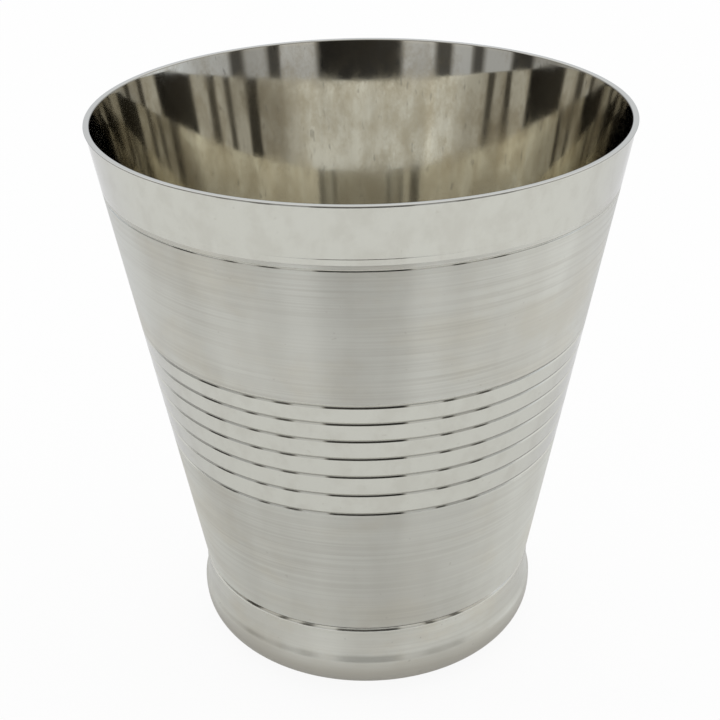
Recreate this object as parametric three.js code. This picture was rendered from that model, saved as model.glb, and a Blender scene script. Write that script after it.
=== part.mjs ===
// A double-walled stainless steel tumbler: a mirror-polished cup hung by its lip in a turned conical shell,
// a closing plate inside the shell's lower end, and a pressed foot cap that grips the shell's neck.
// Millimetres, +Z up. The tumbler stands on z = 0 and turns about the Z axis.
import * as THREE from 'three';

// Overall sizes
const HEIGHT = 93.05; // table to the top of the lip
const LIP_RADIUS = 42.7; // outside of the lip
const FOOT_LINE = 14.1; // table to the foot cap's top edge
const SHELL_LOW_RADIUS = 28.79; // the shell's outside line, carried down to the foot line

// Lip of the cup
const LIP_HEIGHT = 0.2;
const LIP_OVERHANG = 0.2; // beyond the shell's top edge
const LIP_BEND = 0.25; // rounding from the lip's top into the cup

// Cup
const CUP_WALL = 0.4;
const CUP_CORNER = 5; // inside radius between wall and floor
const CUP_FLOOR_GAP = 1.5; // air between the closing plate and the cup's floor
const RIM_CLEARANCE = 0.05; // between cup and shell under the lip
const AIR_GAP = 1.3; // between cup and shell level with the cup's floor

// Shell and the rings turned into it, each placed by its drop below the lip
const SHELL_WALL = 0.4;
const BAND_EDGE = { drop: 7.85, width: 0.3, depth: 0.06 }; // lower edge of the polished rim band
const BAND_LINE = { drop: 9.7, width: 0.4, depth: 0.15 }; // upper edge of the satin panel
const GROOVE_COUNT = 7;
const GROOVE_DROP = 32.75; // first groove
const GROOVE_PITCH = 3.07; // first groove to the second
const GROOVE_PITCH_GROWTH = 0.145; // each later pitch is wider by this
const GROOVE_WIDTH = 0.65;
const GROOVE_DEPTH = 0.2;
const SEAM_GAP = 0.3; // from the foot cap's top edge up to the step above the neck
const NECK_STEP = 0.25; // height of that step

// Closing plate
const PLATE_WALL = 0.4;
const PLATE_FLANGE = 2.6; // height of its rim
const PLATE_BEND = 1; // outside radius between flange and panel
const PLATE_CLEARANCE = 0.05; // between flange and shell

// Foot cap
const FOOT_WALL = 0.4;
const FOOT_CLEARANCE = 0.05; // between its wall and the shell's neck
const FOOT_EDGE = 0.55; // height of its rounded top edge
const FOOT_EDGE_FACETS = [{ drop: 0.25, inset: 0.11 }, { drop: 0, inset: 0.29 }]; // by drop below its top
const FOOT_BELLY = 7.1; // height of its widest point
const FOOT_BULGE = 0.61; // belly beyond the shell's line at the foot line
const FOOT_SHOULDER = { rise: 1.15, depth: 0.59, steepness: 4 }; // above the belly
const FOOT_ROUND = 10.9; // from the belly in to the resting ring
const FOOT_SQUARENESS = 2.45; // 2 is a true ellipse, more is squarer
const REST_WIDTH = 1.6; // width of the flat resting ring
const PANEL_LIFT = 1.6; // recess of the bottom panel
const RECESS_SLOPE = 0.8; // radial run of the recess wall
const SEAT_CLEARANCE = 0.3; // between the shell's lower edge and the cap's inside

// Fineness of the turned surfaces
const SEGMENTS = 64;
const ARC_STEPS = 4;
const FOOT_STEPS = 9;

const LIP_UNDERSIDE = HEIGHT - LIP_HEIGHT;
const SHELL_TOP_RADIUS = LIP_RADIUS - LIP_OVERHANG;
const SHELL_TAPER = (SHELL_TOP_RADIUS - SHELL_LOW_RADIUS) / (LIP_UNDERSIDE - FOOT_LINE);
const BELLY_RADIUS = SHELL_LOW_RADIUS + FOOT_BULGE;
const REST_RADIUS = BELLY_RADIUS - FOOT_ROUND;

// Outside and inside of the shell at a height
function shellRadius(z) {
  return SHELL_LOW_RADIUS + SHELL_TAPER * (z - FOOT_LINE);
}

function shellBore(z) {
  return shellRadius(z) - SHELL_WALL;
}

// Points of an arc, by angle from the outward direction towards +Z
function arc(centreRadius, centreHeight, radius, from, to) {
  return Array.from({ length: ARC_STEPS + 1 }, (_, i) => {
    const angle = THREE.MathUtils.lerp(from, to, i / ARC_STEPS);
    return [centreRadius + radius * Math.cos(angle), centreHeight + radius * Math.sin(angle)];
  });
}

// The foot cap's rounding from its belly down to the resting ring, or the inside of it
function footRounding(halfWidth, halfHeight) {
  return Array.from({ length: FOOT_STEPS + 1 }, (_, i) => {
    const angle = (i / FOOT_STEPS) * (Math.PI / 2);
    const across = Math.max(0, Math.cos(angle)) ** (2 / FOOT_SQUARENESS);
    const down = Math.sin(angle) ** (2 / FOOT_SQUARENESS);
    return [REST_RADIUS + halfWidth * across, FOOT_BELLY - halfHeight * down];
  });
}

// Outside of the foot cap's wall at a height above its belly: a shoulder, then a straight band
function footWall(z) {
  const turn = ((z - FOOT_BELLY) / FOOT_SHOULDER.rise) ** FOOT_SHOULDER.steepness;
  return BELLY_RADIUS - (FOOT_SHOULDER.depth * turn) / (1 + turn);
}

// Points of that wall from the belly up to a height, closest together along the shoulder
function footBand(top) {
  return Array.from({ length: FOOT_STEPS + 1 }, (_, i) => {
    const z = THREE.MathUtils.lerp(FOOT_BELLY, top, (i / FOOT_STEPS) ** 2);
    return [footWall(z), z];
  });
}

// Height of the foot cap's inside above its resting ring, at a radius
function footInside(radius) {
  const across = (radius - REST_RADIUS) / (FOOT_ROUND - FOOT_WALL);
  const down = (1 - across ** FOOT_SQUARENESS) ** (1 / FOOT_SQUARENESS);
  return FOOT_BELLY - (FOOT_BELLY - FOOT_WALL) * down;
}

// The shell's straight neck fits inside the foot cap, and its lower edge stands clear of the cap's bottom
const NECK_RADIUS = footWall(FOOT_LINE) - FOOT_WALL - FOOT_CLEARANCE;
const NECK_BORE = NECK_RADIUS - SHELL_WALL;
const SHELL_END = footInside(NECK_RADIUS) + SEAT_CLEARANCE;
const PLATE_TOP = SHELL_END + PLATE_FLANGE;
const CUP_FLOOR = PLATE_TOP + CUP_FLOOR_GAP;

// A solid of revolution about +Z from a closed profile of [radius, height] points
function turned(name, profile, color, roughness) {
  const points = profile.map(([radius, height]) => new THREE.Vector2(radius, height));
  const geometry = new THREE.LatheGeometry(points, SEGMENTS);
  geometry.rotateX(Math.PI / 2);
  const material = new THREE.MeshStandardMaterial({ color, roughness, metalness: 1 });
  const mesh = new THREE.Mesh(geometry, material);
  mesh.name = name;
  return mesh;
}

function innerCup() {
  const topRadius = shellBore(LIP_UNDERSIDE) - RIM_CLEARANCE;
  const lowRadius = NECK_BORE - AIR_GAP;
  const taper = (topRadius - lowRadius) / (LIP_UNDERSIDE - CUP_FLOOR);
  const lean = Math.atan(taper);
  const outside = (z) => lowRadius + taper * (z - CUP_FLOOR);
  const inside = (z) => outside(z) - CUP_WALL / Math.cos(lean);

  const outerCorner = CUP_CORNER + CUP_WALL;
  const cornerHeight = CUP_FLOOR + outerCorner;
  const cornerRadius = outside(cornerHeight - outerCorner * Math.sin(lean)) - outerCorner * Math.cos(lean);

  const edge = LIP_HEIGHT / 2;
  const bendHeight = HEIGHT - LIP_BEND;
  const bendRadius = inside(bendHeight + LIP_BEND * Math.sin(lean)) + LIP_BEND * Math.cos(lean);

  const profile = [
    [0, CUP_FLOOR],
    ...arc(cornerRadius, cornerHeight, outerCorner, -Math.PI / 2, -lean),
    [outside(LIP_UNDERSIDE), LIP_UNDERSIDE],
    ...arc(LIP_RADIUS - edge, LIP_UNDERSIDE + edge, edge, -Math.PI / 2, Math.PI / 2),
    ...arc(bendRadius, bendHeight, LIP_BEND, Math.PI / 2, Math.PI - lean),
    ...arc(cornerRadius, cornerHeight, CUP_CORNER, -lean, -Math.PI / 2),
    [0, CUP_FLOOR + CUP_WALL],
  ];
  return turned('inner_cup', profile, 0xb4afa3, 0.12);
}

// A flat-bottomed groove across the shell's outside, from its lower edge to its upper edge
function groove({ drop, width, depth }) {
  const middle = LIP_UNDERSIDE - drop;
  const cuts = [0, depth, depth, 0];
  const shares = [-1 / 2, -1 / 4, 1 / 4, 1 / 2];
  return shares.map((share, i) => {
    const z = middle + share * width;
    return [shellRadius(z) - cuts[i], z];
  });
}

function outerShell() {
  const rings = [BAND_EDGE, BAND_LINE];
  let drop = GROOVE_DROP;
  let pitch = GROOVE_PITCH;
  for (let i = 0; i < GROOVE_COUNT; i += 1) {
    rings.push({ drop, width: GROOVE_WIDTH, depth: GROOVE_DEPTH });
    drop += pitch;
    pitch += GROOVE_PITCH_GROWTH;
  }
  const lowestFirst = rings.reverse();
  const neckTop = FOOT_LINE + SEAM_GAP;
  const stepTop = neckTop + NECK_STEP;
  // The step stands higher inside than outside, so that the sheet keeps its thickness
  const lift = SHELL_WALL * Math.tan(Math.atan2(shellRadius(stepTop) - NECK_RADIUS, NECK_STEP) / 2);
  const profile = [
    [NECK_BORE, SHELL_END],
    [NECK_RADIUS, SHELL_END],
    [NECK_RADIUS, neckTop],
    [shellRadius(stepTop), stepTop],
    ...lowestFirst.flatMap(groove),
    [shellRadius(LIP_UNDERSIDE), LIP_UNDERSIDE],
    [shellBore(LIP_UNDERSIDE), LIP_UNDERSIDE],
    [shellBore(stepTop + lift), stepTop + lift],
    [NECK_BORE, neckTop + lift],
    [NECK_BORE, SHELL_END],
  ];
  return turned('outer_shell', profile, 0xc6c5be, 0.28);
}

function closingPlate() {
  const flange = NECK_BORE - PLATE_CLEARANCE;
  const bendRadius = flange - PLATE_BEND;
  const bendHeight = PLATE_TOP - PLATE_BEND;
  const profile = [
    [0, PLATE_TOP - PLATE_WALL],
    ...arc(bendRadius, bendHeight, PLATE_BEND - PLATE_WALL, Math.PI / 2, 0),
    [flange - PLATE_WALL, SHELL_END],
    [flange, SHELL_END],
    ...arc(bendRadius, bendHeight, PLATE_BEND, 0, Math.PI / 2),
    [0, PLATE_TOP],
  ];
  return turned('closing_plate', profile, 0xa3a29d, 0.42);
}

function footCap() {
  const ringInside = REST_RADIUS - REST_WIDTH;
  // Sideways shift of the recess wall's upper face that keeps the sheet one thickness through
  const shift = (FOOT_WALL * (Math.hypot(RECESS_SLOPE, PANEL_LIFT) - RECESS_SLOPE)) / PANEL_LIFT;
  const band = footBand(FOOT_LINE - FOOT_EDGE);
  const bandInside = footBand(FOOT_LINE).map(([radius, z]) => [radius - FOOT_WALL, z]);
  const edge = FOOT_EDGE_FACETS.map(({ drop, inset }) => {
    const z = FOOT_LINE - drop;
    return [footWall(z) - inset, z];
  });
  const profile = [
    [0, PANEL_LIFT],
    [ringInside - RECESS_SLOPE, PANEL_LIFT],
    [ringInside, 0],
    ...footRounding(FOOT_ROUND, FOOT_BELLY).reverse(),
    ...band.slice(1),
    ...edge,
    ...bandInside.reverse(),
    ...footRounding(FOOT_ROUND - FOOT_WALL, FOOT_BELLY - FOOT_WALL).slice(1),
    [ringInside + shift, FOOT_WALL],
    [ringInside - RECESS_SLOPE + shift, PANEL_LIFT + FOOT_WALL],
    [0, PANEL_LIFT + FOOT_WALL],
  ];
  return turned('foot_cap', profile, 0xbdbbb3, 0.32);
}

const tumbler = new THREE.Group();
tumbler.add(innerCup(), outerShell(), closingPlate(), footCap());

export default tumbler;
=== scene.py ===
# Dresses the steel tumbler: fine turned surfaces, procedural steel finishes, a pale floor and soft light.
# Sizes are in millimetres, as in the part's own source, and the meshes are made in metres.
from math import atan, atan2, cos, exp, hypot, pi, radians, sin, tan

import bpy
from mathutils import Matrix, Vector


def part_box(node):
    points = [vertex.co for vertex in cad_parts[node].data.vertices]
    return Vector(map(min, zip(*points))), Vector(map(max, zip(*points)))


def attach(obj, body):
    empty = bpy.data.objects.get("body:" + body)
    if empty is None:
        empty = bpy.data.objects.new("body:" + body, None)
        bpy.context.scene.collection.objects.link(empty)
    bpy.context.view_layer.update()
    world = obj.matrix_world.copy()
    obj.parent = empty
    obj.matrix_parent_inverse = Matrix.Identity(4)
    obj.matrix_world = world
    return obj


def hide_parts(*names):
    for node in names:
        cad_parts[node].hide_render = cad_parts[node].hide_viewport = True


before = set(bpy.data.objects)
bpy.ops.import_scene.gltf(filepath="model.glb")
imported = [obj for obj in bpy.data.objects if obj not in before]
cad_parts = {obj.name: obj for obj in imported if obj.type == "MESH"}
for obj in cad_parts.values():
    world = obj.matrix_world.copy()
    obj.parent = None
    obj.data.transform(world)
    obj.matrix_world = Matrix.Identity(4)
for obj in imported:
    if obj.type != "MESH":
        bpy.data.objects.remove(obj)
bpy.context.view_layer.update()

MM = 0.001
WHITE = (1, 1, 1, 1)


def size_of(node):
    """Lowest and highest corner of a CAD node, in millimetres."""
    return [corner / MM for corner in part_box(node)]


# Main sizes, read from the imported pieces
cup_low, cup_high = size_of("inner_cup")
shell_low, shell_high = size_of("outer_shell")
foot_high = size_of("foot_cap")[1]
HEIGHT = cup_high.z
LIP_RADIUS = cup_high.x
CUP_FLOOR = cup_low.z
LIP_UNDERSIDE = shell_high.z
SHELL_TOP_RADIUS = shell_high.x
SHELL_END = shell_low.z
FOOT_LINE = foot_high.z
BELLY_RADIUS = foot_high.x

# Fineness of the meshes
SEGMENTS = 256  # round each turned piece
ARC_STEPS = 10
GROOVE_STEPS = 16
CUP_WALL_STEPS = 60
FOOT_ROUNDING_STEPS = 96
FOOT_BAND_STEPS = 64
LOOP = 0.05  # distance of the loops that hold an edge crisp
SHARP_ANGLE = radians(40)  # from here on a bend is shaded as an edge

# Sheet and clearances
SHEET = 0.4
RIM_CLEARANCE = 0.05
AIR_GAP = 1.3

# Cup
CUP_CORNER = 5
CUP_BOW = {"depth": 0.49, "height": 50, "reach": 20}  # how far the inside of its wall bows out, and where
CUP_BOW_OUTSIDE = 0.5  # share of the bow that the outside follows
CUP_FLARE = {"depth": 0.11, "reach": 5}  # how far the inside flares just below the lip
LIP_BEND = 0.25
LIP_SHINE = 0.04  # depth of the lip's top, which keeps a brighter steel than the painted shade below it

# Rings turned into the shell, each placed by its drop below the lip
LIP_SEAM = {"width": 0.12, "depth": 0.05}
BAND_EDGE = {"drop": 7.85, "width": 0.3, "depth": 0.02}
BAND_LINE = {"drop": 9.7, "width": 0.4, "depth": 0.09}
SATIN_DROP = 8.9  # upper end of the satin
GROOVE_COUNT = 7
GROOVE_DROP = 32.75  # of the uppermost groove
GROOVE_PITCH = 3.07
GROOVE_PITCH_GROWTH = 0.145  # from each pitch to the one below it
GROOVE_WIDTH = 0.65
GROOVE_DEPTH = 0.155
GROOVE_SIDE = 0.42  # share of a groove's width that each of its sides takes
BED_SHADE_AND_GRIME_WIDTH = 0.18  # width of the painted shade, partly grime, along the bed of a groove

# Foot cap, flush with the shell above it
SEAM_GAP = 0.15
NECK_STEP = 0.25
FOOT_CLEARANCE = 0.05
FOOT_EDGE = 0.55  # height of its rounded top edge
FOOT_EDGE_FACETS = ({"drop": 0.25, "inset": 0.11}, {"drop": 0, "inset": 0.29})
FOOT_BELLY = 7.1  # height at which it is widest
FOOT_BULGE = 0.61  # how far its belly stands out past the shell's lower end
FOOT_SHOULDER = {"rise": 1.15, "depth": 0.59, "steepness": 4}
FOOT_ROUND = 10.9  # how far its rounding reaches inwards, to the resting ring
FOOT_SQUARENESS = 2.45  # of that rounding: 2 is an ellipse
REST_WIDTH = 1.6
PANEL_LIFT = 1.6
RECESS_SLOPE = 0.8
REST_RADIUS = BELLY_RADIUS - FOOT_ROUND
SHELL_LOW_RADIUS = BELLY_RADIUS - FOOT_BULGE
SHELL_TAPER = (SHELL_TOP_RADIUS - SHELL_LOW_RADIUS) / (LIP_UNDERSIDE - FOOT_LINE)

# Steel colour, as the share of light that it throws back
STEEL = (0.722, 0.723, 0.665, 1)
STEEL_WARM = (0.693, 0.678, 0.6, 1)
STEEL_POLISHED = (0.635, 0.635, 0.577, 1)
STEEL_CUT = (0.7, 0.7, 0.64, 1)  # in the grooves, where no haze lies
# The two darker steels below serve for real dull marks and also as painted shade.
STEEL_DULL_AND_SHADED = (0.5, 0.482, 0.425, 1)
STEEL_DARK_AND_SHADED = (0.3, 0.29, 0.26, 1)
STEEL_EDGE = (0.85, 0.85, 0.87, 1)  # how much of that is left at a grazing view
CUP_STEEL = (0.69, 0.672, 0.598, 1)
CUP_STEEL_WARM = (0.535, 0.496, 0.405, 1)
LIP_STEEL = (0.54, 0.54, 0.505, 1)

# How far each mark darkens the steel, as a dull mark or as painted shade
LINE_SHADE = 0.38
# soft patches on the satin: partly dull blotches, partly painted reflection
CLOUD_AND_REFLECTION_SHADE = 0.28
SPECK_SHADE = 0.35
MOTTLE_SHADE = 0.3
# painted shade, partly grime, in the groove beds
BED_SHADE_AND_GRIME = 0.8
FLECK_SHADE = 0.45
FOOT_SHADE = 0.3
FOOT_LINE_SHADE = 0.28
STREAK_SHADE = 0.25
# painted shade deep inside the cup
DEEP_PAINTED_SHADE = 0.6

# Heights between which painted shade grows downwards: deep in the cup, and on the foot towards the table
CUP_SHADE_HEIGHTS = {"start": 74, "end": 62}
FOOT_TABLE_SHADE = {"start": 8.8, "end": 5}

# Turned lines
WIDE_LINE_SHARE = 0.65  # the rest are close lines
LINE_REST = 0.3  # share of their strength that is left where they fade

# Roughness of each finish, from its lowest to its highest
SATIN_ROUGHNESS = (0.33, 0.375)
LOWER_PANEL_EXTRA = 0.06  # what the panel above the foot has on top of that
BAND_ROUGHNESS = (0.08, 0.12)
CUP_ROUGHNESS = (0.045, 0.11)
CUP_SMEAR = (-0.015, 0.02)  # added to that along the streaks
FOOT_ROUGHNESS = (0.31, 0.36)
FOOT_GRAIN = (-0.015, 0.015)  # added to that from line to line
FOOT_EDGE_ROUGHNESS = 0.14
PLATE_ROUGHNESS = (0.34, 0.48)

# Relief of each finish in metres, and how far its gloss is drawn out across the turned lines
TURNED_FINISH = {"relief": 5e-6, "anisotropy": 0.95}
MIRROR_FINISH = {"relief": 2e-5, "anisotropy": 0.2}
SATIN_FINISH = {"relief": 2e-7, "anisotropy": 0.85}
PLAIN_FINISH = {"relief": 3e-6, "anisotropy": 0.3}
BAND_RELIEF = 0.04  # share of the shell's relief that its polished bands have
QUARTER_TURN = 0.25

# Camera: the photograph's viewpoint
CAMERA_LENS = 69.665
CAMERA_PLACE = (0, -0.21071, 0.15765)  # in metres
CAMERA_PITCH = radians(27.318)
CAMERA_YAW = radians(-0.196)
CAMERA_ROLL = radians(-0.925)

# Studio round the object: brightness by degrees from the camera's side towards +X
WALLS = (
    (-128, 1.0), (-114, 0.72), (-106, 0.45), (-85, 0.45), (-84, 0.06), (-74, 0.06), (-72, 0.56), (-60, 0.56),
    (-58, 0.1), (-54, 0.1), (-52, 0.6), (-44, 0.6), (-43, 0.1), (-36, 0.1), (-34, 0.64), (-20.5, 0.64),
    (-19, 0.05), (19, 0.02), (21, 0.62), (36.5, 0.64), (38, 0.08), (42.5, 0.08), (44, 0.5), (54, 0.5),
    (55.5, 0.1), (61, 0.1), (63, 0.6), (80, 0.65), (95, 1.05), (109, 1.05), (115, 1.3), (121, 1.0),
)
WALL_WARM = (1.08, 1.0, 0.88, 1)  # tint of the dark parts of the walls
WALL_PLAIN = (0.97, 0.99, 1.02, 1)  # and of the bright parts
WALL_FOOT = (0.78, 0.81, 0.86, 1)  # share of their light that the walls have near the table
WINDOWS = (
    (-160, 1.15), (-140, 1.3), (-88, 1.3), (-86, 0.35), (-73, 0.35), (-71, 1.1), (-62, 1.1), (-60, 0.5),
    (-56, 0.5), (-54, 0.8), (-44, 0.8), (-42, 0.5), (-37, 0.5), (-35, 0.86), (36, 0.86), (38, 0.5),
    (42, 0.5), (44, 0.8), (54, 0.8), (56, 0.45), (62, 0.45), (64, 1.4), (140, 1.4), (160, 1.15),
)
CEILING = (1.1, 1.1, 1.1, 1)

# Degrees above the horizon between which each part of the studio gives way to the next
WALL_FOOT_END = (4, 12)
WALLS_END = (23, 31)
WINDOWS_END = (42, 58)

# Table, in metres
FLOOR_COLOUR = (0.9, 0.9, 0.9, 1)
FLOOR_GLOW = 0.92  # share of its white that the object's shadow leaves alone
FLOOR_GLOW_IN_STEEL = 0.45  # the same where the steel mirrors it
FLOOR_REACH = 3  # to the right and to the back
FLOOR_FRONT = 0.2  # it ends this far towards the camera
FLOOR_LEFT = 0.4  # and this far to the left
NEAR_CENTRE = (-0.03, 0, 0)  # middle of a painted shadow round the object, which only the steel shows as it mirrors the table
NEAR_EDGE = (0.1, 0.18)  # distances between which that part ends
# glow of the table within that painted shadow, and beyond it
NEAR_LEVEL = 0.86
FAR_LEVEL = 0.93

# Levels between which a noise mostly lies
NOISE_SPAN = (0.3, 0.7)

# Where a Mix node keeps its two inputs and its output, by the kind of value
MIX_SOCKETS = {"FLOAT": (2, 3, 0), "RGBA": (6, 7, 2)}


class Graph:
    """A node tree, with short ways to add nodes and join them."""

    def __init__(self, tree):
        self.tree = tree
        tree.nodes.clear()

    def add(self, kind, inputs, **settings):
        node = self.tree.nodes.new(kind)
        for name, value in settings.items():
            setattr(node, name, value)
        for name, value in inputs.items():
            if isinstance(value, bpy.types.NodeSocket):
                self.tree.links.new(value, node.inputs[name])
            else:
                node.inputs[name].default_value = value
        return node

    def math(self, operation, a, b):
        return self.add("ShaderNodeMath", {0: a, 1: b}, operation=operation).outputs[0]

    def remap(self, value, low, high, to_low, to_high):
        inputs = {"Value": value, "From Min": low, "From Max": high, "To Min": to_low, "To Max": to_high}
        return self.add("ShaderNodeMapRange", inputs).outputs["Result"]

    def smooth(self, value, low, high):
        """0 where a value is low, growing softly to 1 where it is high."""
        inputs = {"Value": value, "From Min": low, "From Max": high}
        return self.add("ShaderNodeMapRange", inputs, interpolation_type="SMOOTHSTEP").outputs["Result"]

    def weigh(self, kind, share, a, b):
        first, second, result = MIX_SOCKETS[kind]
        node = self.add("ShaderNodeMix", {"Factor": share, first: a, second: b}, data_type=kind)
        return node.outputs[result]

    def pick(self, share, a, b):
        """A number from a, where the share is 0, to b, where it is 1."""
        return self.weigh("FLOAT", share, a, b)

    def mix(self, share, a, b):
        """A colour from a, where the share is 0, to b, where it is 1."""
        return self.weigh("RGBA", share, a, b)

    def split(self, vector):
        return self.add("ShaderNodeSeparateXYZ", {0: vector}).outputs

    def times(self, vector, factors):
        return self.add("ShaderNodeVectorMath", {0: vector, 1: factors}, operation="MULTIPLY").outputs[0]

    def noise(self, vector, stretch, detail, roughness=0.5):
        """Noise whose grains per metre along X, Y and Z are the three numbers of stretch."""
        scaled = self.times(vector, stretch)
        inputs = {"Vector": scaled, "Scale": 1.0, "Detail": detail, "Roughness": roughness}
        return self.add("ShaderNodeTexNoise", inputs).outputs["Fac"]

    def marks(self, vector, levels, **texture):
        """Marks that grow from 0 to 1 between two levels of a noise."""
        return self.smooth(self.noise(vector, **texture), *levels)

    def spread(self, noise, low, high):
        """A noise, stretched to run from low to high."""
        return self.remap(noise, *NOISE_SPAN, low, high)

    def ramp(self, value, stops):
        node = self.add("ShaderNodeValToRGB", {"Fac": value})
        elements = node.color_ramp.elements
        while len(elements) < len(stops):
            elements.new(1)
        for element, (place, level) in zip(elements, stops):
            element.position = place
            element.color = (level, level, level, 1)
        return node.outputs["Color"]


def spaced(start, end, steps):
    """Evenly spaced numbers from start to end."""
    return [start + (end - start) * i / steps for i in range(steps + 1)]


def arc(centre, radius, start, end):
    """Points of an arc, by angle from the outward direction towards +Z."""
    angles = spaced(start, end, ARC_STEPS)
    return [(centre[0] + radius * cos(a), centre[1] + radius * sin(a)) for a in angles]


def dip(share):
    """Depth of a groove at a share of its width: 0 at both edges, down straight sides to 1 along its bed."""
    return min(1, (0.5 - abs(share)) / GROOVE_SIDE)


def shell_radius(z):
    """Outside of the shell's cone."""
    return SHELL_LOW_RADIUS + SHELL_TAPER * (z - FOOT_LINE)


def foot_wall(z):
    """Outside of the foot cap above its belly: a shoulder, then a straight band."""
    turn = ((z - FOOT_BELLY) / FOOT_SHOULDER["rise"]) ** FOOT_SHOULDER["steepness"]
    return BELLY_RADIUS - FOOT_SHOULDER["depth"] * turn / (1 + turn)


def neck_radius():
    """Outside of the shell's straight neck, which fits inside the foot cap."""
    return foot_wall(FOOT_LINE) - SHEET - FOOT_CLEARANCE


def groove(drop, width, depth):
    """A groove across the shell's outside, from below its lower edge to above its upper edge."""
    middle = LIP_UNDERSIDE - drop
    shares = spaced(-0.5, 0.5, GROOVE_STEPS)
    heights = [middle + share * width for share in shares]
    cuts = [depth * dip(share) for share in shares]
    points = [(shell_radius(z) - cut, z) for z, cut in zip(heights, cuts)]
    lower = heights[0] - LOOP
    upper = heights[-1] + LOOP
    return [(shell_radius(lower), lower), *points, (shell_radius(upper), upper)]


def groove_drops():
    """Drops of the belt's grooves, from the uppermost down."""
    drops = [GROOVE_DROP]
    for i in range(GROOVE_COUNT - 1):
        drops.append(drops[-1] + GROOVE_PITCH + i * GROOVE_PITCH_GROWTH)
    return drops


def shell_profile():
    """The shell's neck, its outside with all rings, the seam under the lip, and its inside."""
    belt = [{"drop": drop, "width": GROOVE_WIDTH, "depth": GROOVE_DEPTH} for drop in groove_drops()]
    lowest_first = [*reversed(belt), BAND_LINE, BAND_EDGE]
    outside = [point for ring in lowest_first for point in groove(**ring)]
    seam_low = LIP_UNDERSIDE - LIP_SEAM["width"]
    neck_top = FOOT_LINE + SEAM_GAP
    step_top = neck_top + NECK_STEP
    neck = neck_radius()
    lift = SHEET * tan(atan2(shell_radius(step_top) - neck, NECK_STEP) / 2)
    return [
        (neck - SHEET, SHELL_END),
        (neck, SHELL_END),
        (neck, neck_top),
        (shell_radius(step_top), step_top),
        (shell_radius(step_top + LOOP), step_top + LOOP),
        *outside,
        (shell_radius(seam_low - LOOP), seam_low - LOOP),
        (shell_radius(seam_low), seam_low),
        (shell_radius(LIP_UNDERSIDE) - LIP_SEAM["depth"], LIP_UNDERSIDE),
        (shell_radius(LIP_UNDERSIDE) - SHEET, LIP_UNDERSIDE),
        (shell_radius(step_top + lift) - SHEET, step_top + lift),
        (neck - SHEET, neck_top + lift),
    ]


def cup_profile():
    """The cup's underside and outside, its lip, and its inside down to the floor."""
    top = shell_radius(LIP_UNDERSIDE) - SHEET - RIM_CLEARANCE
    low = neck_radius() - SHEET - AIR_GAP
    taper = (top - low) / (LIP_UNDERSIDE - CUP_FLOOR)
    lean = atan(taper)

    def bow(z):
        return CUP_BOW["depth"] * exp(-((z - CUP_BOW["height"]) / CUP_BOW["reach"]) ** 2)

    def flare(z):
        return CUP_FLARE["depth"] * exp((z - LIP_UNDERSIDE) / CUP_FLARE["reach"])

    def outside(z):
        return low + taper * (z - CUP_FLOOR)

    def inside(z):
        return outside(z) - SHEET / cos(lean)

    outer_corner = CUP_CORNER + SHEET
    corner_height = CUP_FLOOR + outer_corner
    corner = (outside(corner_height - outer_corner * sin(lean)) - outer_corner * cos(lean), corner_height)
    edge = (HEIGHT - LIP_UNDERSIDE) / 2
    bend_height = HEIGHT - LIP_BEND
    bend_radius = inside(bend_height + LIP_BEND * sin(lean)) + flare(bend_height) + LIP_BEND * cos(lean)
    heights = spaced(corner_height + LOOP, bend_height - 2 * LIP_BEND, CUP_WALL_STEPS)
    return [
        (0, CUP_FLOOR),
        *arc(corner, outer_corner, -pi / 2, -lean),
        *[(outside(z) + bow(z) * CUP_BOW_OUTSIDE, z) for z in heights],
        (outside(LIP_UNDERSIDE), LIP_UNDERSIDE),
        *arc((LIP_RADIUS - edge, LIP_UNDERSIDE + edge), edge, -pi / 2, pi / 2),
        *arc((bend_radius, bend_height), LIP_BEND, pi / 2, pi - lean),
        *[(inside(z) + bow(z) + flare(z), z) for z in reversed(heights)],
        *arc(corner, CUP_CORNER, -lean, -pi / 2),
        (corner[0] - CUP_CORNER / 2, CUP_FLOOR + SHEET),
        (0, CUP_FLOOR + SHEET),
    ]


def foot_rounding(half_width, half_height):
    """The foot cap's rounding from its belly down to the resting ring, or the inside of it."""
    power = 2 / FOOT_SQUARENESS
    points = []
    for angle in spaced(0, pi / 2, FOOT_ROUNDING_STEPS):
        across = max(0, cos(angle)) ** power
        down = sin(angle) ** power
        points.append((REST_RADIUS + half_width * across, FOOT_BELLY - half_height * down))
    return points


def foot_band(top):
    """Points of the foot cap's wall from its belly up to a height, closest together along the shoulder."""
    heights = [FOOT_BELLY + (top - FOOT_BELLY) * share ** 2 for share in spaced(0, 1, FOOT_BAND_STEPS)]
    return [(foot_wall(z), z) for z in heights]


def foot_profile():
    """The foot cap's recessed panel, resting ring, rounding and wall, and the inside of all of them."""
    ring_inside = REST_RADIUS - REST_WIDTH
    shift = SHEET * (hypot(RECESS_SLOPE, PANEL_LIFT) - RECESS_SLOPE) / PANEL_LIFT
    band_top = FOOT_LINE - FOOT_EDGE
    edge = [(FOOT_LINE - facet["drop"], facet["inset"]) for facet in FOOT_EDGE_FACETS]
    return [
        (0, PANEL_LIFT),
        (ring_inside - RECESS_SLOPE - LOOP, PANEL_LIFT),
        (ring_inside - RECESS_SLOPE, PANEL_LIFT),
        (ring_inside, 0),
        *reversed(foot_rounding(FOOT_ROUND, FOOT_BELLY)),
        *foot_band(band_top - LOOP)[1:],
        (foot_wall(band_top), band_top),
        *[(foot_wall(z) - inset, z) for z, inset in edge],
        *[(radius - SHEET, z) for radius, z in reversed(foot_band(FOOT_LINE))],
        *foot_rounding(FOOT_ROUND - SHEET, FOOT_BELLY - SHEET)[1:],
        (ring_inside + shift, SHEET),
        (ring_inside - RECESS_SLOPE + shift, PANEL_LIFT + SHEET),
        (0, PANEL_LIFT + SHEET),
    ]


def put_in_scene(name, data):
    """A new object at the origin, made of a mesh or a camera's data."""
    thing = bpy.data.objects.new(name, data)
    bpy.context.scene.collection.objects.link(thing)
    return thing


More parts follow.
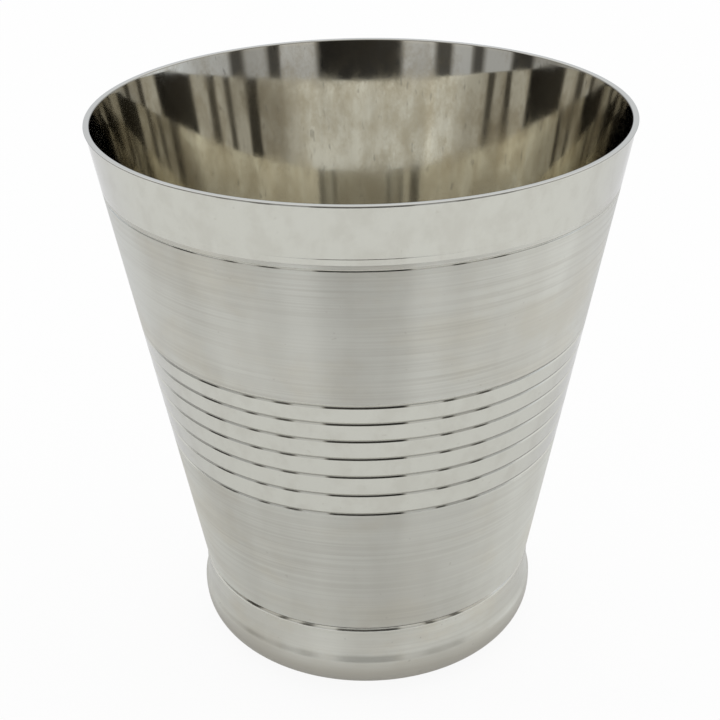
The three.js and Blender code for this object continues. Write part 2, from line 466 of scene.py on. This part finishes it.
def lathe(name, profile):
    """Turns a closed profile of (radius, height) points about Z."""
    vertices = []
    rings = []
    for radius, height in profile:
        count = SEGMENTS if radius > 0 else 1
        rings.append(range(len(vertices), len(vertices) + count))
        for i in range(count):
            angle = 2 * pi * i / SEGMENTS
            vertices.append((radius * cos(angle) * MM, radius * sin(angle) * MM, height * MM))
    faces = []
    for low, high in zip(rings, rings[1:] + rings[:1]):
        if len(low) == len(high) == 1:
            continue
        for i in range(SEGMENTS):
            after = (i + 1) % SEGMENTS
            corners = (low[i % len(low)], low[after % len(low)], high[after % len(high)], high[i % len(high)])
            faces.append(tuple(dict.fromkeys(corners)))  # at the axis two corners are one
    mesh = bpy.data.meshes.new(name)
    mesh.from_pydata(vertices, [], faces)
    mesh.shade_smooth()
    mesh.set_sharp_from_angle(angle=SHARP_ANGLE)
    return put_in_scene(name, mesh)


def new_material(name):
    """An empty material: its graph and the place of its pattern, by the object's own coordinates."""
    material = bpy.data.materials.new(name)
    material.use_nodes = True
    graph = Graph(material.node_tree)
    place = graph.add("ShaderNodeTexCoord", {}).outputs["Object"]
    return material, graph, place


def finish_steel(graph, colour, roughness, height, relief, anisotropy):
    """Joins colour, roughness and relief to a metal whose gloss is drawn out across the turned lines."""
    bump = graph.add("ShaderNodeBump", {"Height": height, "Strength": 1.0, "Distance": relief})
    tangent = graph.add("ShaderNodeTangent", {}, direction_type="RADIAL", axis="Z")
    shader = graph.add("ShaderNodeBsdfPrincipled", {
        "Base Color": colour,
        "Metallic": 1.0,
        "Roughness": roughness,
        "Normal": bump.outputs[0],
        "Specular Tint": STEEL_EDGE,
        "Anisotropic": anisotropy,
        "Anisotropic Rotation": QUARTER_TURN,
        "Tangent": tangent.outputs[0],
    })
    graph.add("ShaderNodeOutputMaterial", {"Surface": shader.outputs[0]})


def above(graph, z, height):
    """1 above a height in millimetres, and 0 below it."""
    return graph.math("GREATER_THAN", z, height * MM)


def between(graph, z, low, high):
    """1 between two heights in millimetres, and 0 elsewhere."""
    return graph.math("MULTIPLY", above(graph, z, low), graph.math("LESS_THAN", z, high * MM))


def deepening(graph, z, start, end):
    """0 down to one height in millimetres, growing to 1 at another below it."""
    return graph.smooth(z, start * MM, end * MM)


def sum_of(graph, values):
    total = values[0]
    for value in values[1:]:
        total = graph.math("ADD", total, value)
    return total


def shaded(graph, colour, mark, shade, dull):
    """A colour mixed towards a darker one along a mark, as far as shade says: a duller steel, or painted
    shade.
    """
    return graph.mix(graph.math("MULTIPLY", mark, shade), colour, dull)


def turned_lines(graph, place):
    """Fine lines round the axis, at two spacings, that fade in and out in patches: about 0 to 1."""
    close = graph.marks(place, levels=(0.38, 0.62), stretch=(24, 24, 3400), detail=1)
    wide = graph.marks(place, levels=(0.42, 0.6), stretch=(22, 22, 2200), detail=1)
    patch = graph.noise(place, stretch=(35, 35, 70), detail=2)
    strength = graph.remap(patch, low=0.35, high=0.65, to_low=LINE_REST, to_high=1)
    return graph.math("MULTIPLY", graph.pick(WIDE_LINE_SHARE, close, wide), strength)


def fine_specks(graph, place):
    """A few small dark specks: 1 on them and 0 elsewhere."""
    return graph.marks(place, levels=(0.74, 0.8), stretch=(1100, 1100, 1100), detail=1)


def satin_panels(graph, z):
    """The shell's satin, from the top: a strip, the panel above the belt and the panel above the foot."""
    line = LIP_UNDERSIDE - BAND_LINE["drop"]
    half_line = BAND_LINE["width"] / 2
    half_groove = GROOVE_WIDTH / 2
    drops = groove_drops()
    return [
        between(graph, z, line + half_line, LIP_UNDERSIDE - SATIN_DROP),
        between(graph, z, LIP_UNDERSIDE - drops[0] + half_groove, line - half_line),
        between(graph, z, FOOT_LINE + SEAM_GAP + NECK_STEP, LIP_UNDERSIDE - drops[-1] - half_groove),
    ]


def along_grooves(graph, z, width):
    """1 within a width along the middle of each groove of the belt, and 0 elsewhere."""
    beds = [LIP_UNDERSIDE - drop for drop in groove_drops()]
    return sum_of(graph, [between(graph, z, bed - width / 2, bed + width / 2) for bed in beds])


def turned_steel():
    """Polished bands and satin panels, with fine lines turned round the axis, patches partly of painted
    reflection, and painted shade in the grooves.
    """
    material, graph, place = new_material("turned_finish")
    z = graph.split(place)[2]
    panels = satin_panels(graph, z)
    satin = sum_of(graph, panels)
    cuts = along_grooves(graph, z, GROOVE_WIDTH)
    bed_shade_and_grime = along_grooves(graph, z, BED_SHADE_AND_GRIME_WIDTH)
    lines = turned_lines(graph, place)
    fine = graph.noise(place, stretch=(45, 45, 2600), detail=3)
    stain = graph.noise(place, stretch=(60, 60, 90), detail=4, roughness=0.6)
    # soft, vertically drawn-out dark patches: partly dull blotches, partly painted reflection of dark things
    # round the satin
    cloud = graph.marks(place, levels=(0.38, 0.68), stretch=(96, 96, 36), detail=3)
    mottle = graph.marks(place, levels=(0.42, 0.68), stretch=(260, 260, 200), detail=4, roughness=0.6)
    brushed = graph.mix(graph.smooth(stain, low=0.45, high=0.68), STEEL, STEEL_WARM)
    brushed = shaded(graph, brushed, lines, LINE_SHADE, STEEL_DULL_AND_SHADED)
    brushed = shaded(graph, brushed, cloud, CLOUD_AND_REFLECTION_SHADE, STEEL_DULL_AND_SHADED)
    polished = shaded(graph, STEEL_POLISHED, mottle, MOTTLE_SHADE, STEEL_DULL_AND_SHADED)
    polished = graph.mix(cuts, polished, STEEL_CUT)
    # painted shade, partly grime: the steel is darkened along the bed of each groove
    polished = shaded(graph, polished, bed_shade_and_grime, BED_SHADE_AND_GRIME, STEEL_DARK_AND_SHADED)
    colour = graph.mix(satin, polished, brushed)
    colour = shaded(graph, colour, fine_specks(graph, place), SPECK_SHADE, STEEL_DULL_AND_SHADED)
    extra = graph.math("MULTIPLY", panels[-1], LOWER_PANEL_EXTRA)
    grain = graph.math("ADD", graph.spread(fine, *SATIN_ROUGHNESS), extra)
    roughness = graph.pick(satin, graph.spread(stain, *BAND_ROUGHNESS), grain)
    height = graph.math("MULTIPLY", graph.math("ADD", lines, fine), graph.pick(satin, BAND_RELIEF, 1))
    finish_steel(graph, colour, roughness, height, **TURNED_FINISH)
    return material


def mirror_steel():
    """Mirror polish with mottled wiping haze, small flecks and faint streaks, and a lip painted dark as
    painted shade but for its top.
    """
    material, graph, place = new_material("mirror_finish")
    z = graph.split(place)[2]
    haze = graph.marks(place, levels=(0.42, 0.66), stretch=(90, 90, 60), detail=6, roughness=0.78)
    streak = graph.noise(place, stretch=(260, 260, 22), detail=3)
    fleck = graph.marks(place, levels=(0.64, 0.76), stretch=(1100, 1100, 320), detail=2)
    wave = graph.noise(place, stretch=(120, 120, 60), detail=1)
    colour = graph.mix(haze, CUP_STEEL, CUP_STEEL_WARM)
    # painted shade: the cup's inside grows darker towards its depths
    colour = shaded(graph, colour, deepening(graph, z, **CUP_SHADE_HEIGHTS), DEEP_PAINTED_SHADE, STEEL_DULL_AND_SHADED)
    colour = shaded(graph, colour, graph.smooth(streak, low=0.45, high=0.7), STREAK_SHADE, STEEL_DULL_AND_SHADED)
    colour = shaded(graph, colour, fleck, FLECK_SHADE, STEEL_DARK_AND_SHADED)
    # painted shade: the lip's bead above the shell is darkened as the crease under it is shaded; only its
    # very top keeps a brighter steel
    colour = graph.mix(above(graph, z, LIP_UNDERSIDE), colour, STEEL_DARK_AND_SHADED)
    colour = graph.mix(above(graph, z, HEIGHT - LIP_SHINE), colour, LIP_STEEL)
    smear = graph.spread(streak, *CUP_SMEAR)
    roughness = graph.math("ADD", graph.pick(haze, *CUP_ROUGHNESS), smear)
    finish_steel(graph, colour, roughness, wave, **MIRROR_FINISH)
    return material


def satin_steel():
    """Soft satin, brushed round the axis, with warm painted shade growing towards the table."""
    material, graph, place = new_material("satin_finish")
    z = graph.split(place)[2]
    fine = graph.noise(place, stretch=(40, 40, 2200), detail=1)
    cloud = graph.noise(place, stretch=(70, 70, 120), detail=3)
    stain = graph.marks(place, levels=(0.48, 0.7), stretch=(90, 90, 160), detail=4, roughness=0.65)
    colour = graph.mix(stain, STEEL, STEEL_WARM)
    colour = shaded(graph, colour, graph.smooth(cloud, low=0.35, high=0.65), FOOT_SHADE, STEEL_DULL_AND_SHADED)
    colour = shaded(graph, colour, turned_lines(graph, place), FOOT_LINE_SHADE, STEEL_DULL_AND_SHADED)
    # painted shade: the foot grows darker and warmer towards the table, as the table's shadow shows in it
    colour = graph.mix(deepening(graph, z, **FOOT_TABLE_SHADE), colour, STEEL_DULL_AND_SHADED)
    colour = shaded(graph, colour, fine_specks(graph, place), SPECK_SHADE, STEEL_DARK_AND_SHADED)
    grain = graph.spread(fine, *FOOT_GRAIN)
    brushed = graph.math("ADD", graph.spread(cloud, *FOOT_ROUGHNESS), grain)
    roughness = graph.pick(above(graph, z, FOOT_LINE - FOOT_EDGE), brushed, FOOT_EDGE_ROUGHNESS)
    finish_steel(graph, colour, roughness, fine, **SATIN_FINISH)
    return material


def plain_steel():
    """Cold-rolled sheet, dull and slightly blotched."""
    material, graph, place = new_material("plain_finish")
    blotch = graph.marks(place, levels=(0.4, 0.7), stretch=(150, 150, 150), detail=4)
    rolled = graph.noise(place, stretch=(1800, 60, 60), detail=2)
    colour = graph.mix(blotch, STEEL_DULL_AND_SHADED, STEEL)
    roughness = graph.spread(rolled, *PLATE_ROUGHNESS)
    finish_steel(graph, colour, roughness, rolled, **PLAIN_FINISH)
    return material


def dress():
    """Puts the fine pieces in the place of their CAD nodes, and a finish on the node that stays."""
    pieces = (
        ("polished_cup", cup_profile(), "inner_cup", "mirror_steel", mirror_steel()),
        ("turned_shell", shell_profile(), "outer_shell", "turned_steel", turned_steel()),
        ("pressed_foot", foot_profile(), "foot_cap", "satin_steel", satin_steel()),
    )
    for name, profile, node, slot, material in pieces:
        piece = lathe(name, profile)
        piece.data.materials.append(material)
        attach(piece, "root")
        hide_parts(node)
    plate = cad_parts["closing_plate"]
    plate.data.materials.clear()
    plate.data.materials.append(plain_steel())


def lay_floor():
    """A pale table that glows white round the object's shadow, and less where the steel mirrors it."""
    left, right, front, back = -FLOOR_LEFT, FLOOR_REACH, -FLOOR_FRONT, FLOOR_REACH
    corners = [(left, front, 0), (right, front, 0), (right, back, 0), (left, back, 0)]
    mesh = bpy.data.meshes.new("floor")
    mesh.from_pydata(corners, [], [(0, 1, 2, 3)])
    floor = put_in_scene("floor", mesh)
    material, graph, place = new_material("floor")
    light_path = graph.add("ShaderNodeLightPath", {}).outputs
    seen = light_path["Is Camera Ray"]
    mirrored = graph.math("MAXIMUM", light_path["Is Glossy Ray"], light_path["Is Transmission Ray"])
    in_steel = graph.math("MULTIPLY", mirrored, FLOOR_GLOW_IN_STEEL)
    share = graph.pick(seen, in_steel, FLOOR_GLOW)
    # painted shadow: as the steel sees it, the table glows less near the object
    apart = graph.add("ShaderNodeVectorMath", {0: place, 1: NEAR_CENTRE}, operation="DISTANCE")
    far = graph.smooth(apart.outputs["Value"], *NEAR_EDGE)
    level = graph.pick(seen, graph.pick(far, NEAR_LEVEL, FAR_LEVEL), 1)
    matt = graph.add("ShaderNodeBsdfDiffuse", {"Color": FLOOR_COLOUR}).outputs[0]
    glow = graph.add("ShaderNodeEmission", {"Color": WHITE, "Strength": level}).outputs[0]
    shader = graph.add("ShaderNodeMixShader", {0: share, 1: matt, 2: glow})
    graph.add("ShaderNodeOutputMaterial", {"Surface": shader.outputs[0]})
    mesh.materials.append(material)


def ring_of(graph, around, stops):
    """Brightness round the horizon, from stops in degrees."""
    return graph.ramp(around, [((degrees + 180) / 360, level) for degrees, level in stops])


def higher(graph, z, low, high):
    """0 up to one elevation of the studio in degrees, growing to 1 at another."""
    return graph.smooth(z, sin(radians(low)), sin(radians(high)))


def light_studio():
    """A white backdrop, tall windows, a soft ceiling and a plainer, darker room on the camera's side."""
    world = bpy.data.worlds.new("studio")
    world.use_nodes = True
    graph = Graph(world.node_tree)
    x, y, z = graph.split(graph.add("ShaderNodeTexCoord", {}).outputs["Generated"])
    turn = graph.math("ARCTAN2", x, graph.math("MULTIPLY", y, -1))
    around = graph.remap(turn, -pi, pi, 0, 1)
    level = ring_of(graph, around, WALLS)
    tinted = graph.times(level, graph.mix(level, WALL_WARM, WALL_PLAIN))
    walls = graph.times(tinted, graph.mix(higher(graph, z, *WALL_FOOT_END), WALL_FOOT, WHITE))
    room = graph.mix(higher(graph, z, *WALLS_END), walls, ring_of(graph, around, WINDOWS))
    room = graph.mix(higher(graph, z, *WINDOWS_END), room, CEILING)
    seen = graph.add("ShaderNodeLightPath", {}).outputs["Is Camera Ray"]
    shown = graph.mix(seen, room, WHITE)
    background = graph.add("ShaderNodeBackground", {"Color": shown, "Strength": 1.0})
    graph.add("ShaderNodeOutputWorld", {"Surface": background.outputs[0]})
    bpy.context.scene.world = world


def place_camera():
    """A camera at the photograph's viewpoint, without depth of field."""
    data = bpy.data.cameras.new("camera")
    data.lens = CAMERA_LENS
    camera = put_in_scene("camera", data)
    turn = Matrix.Rotation(-CAMERA_YAW, 4, "Z") @ Matrix.Rotation(pi / 2 - CAMERA_PITCH, 4, "X")
    camera.matrix_world = Matrix.Translation(CAMERA_PLACE) @ turn @ Matrix.Rotation(CAMERA_ROLL, 4, "Z")
    bpy.context.scene.camera = camera


dress()
lay_floor()
light_studio()
place_camera()
bpy.context.scene.view_settings.view_transform = "Standard"
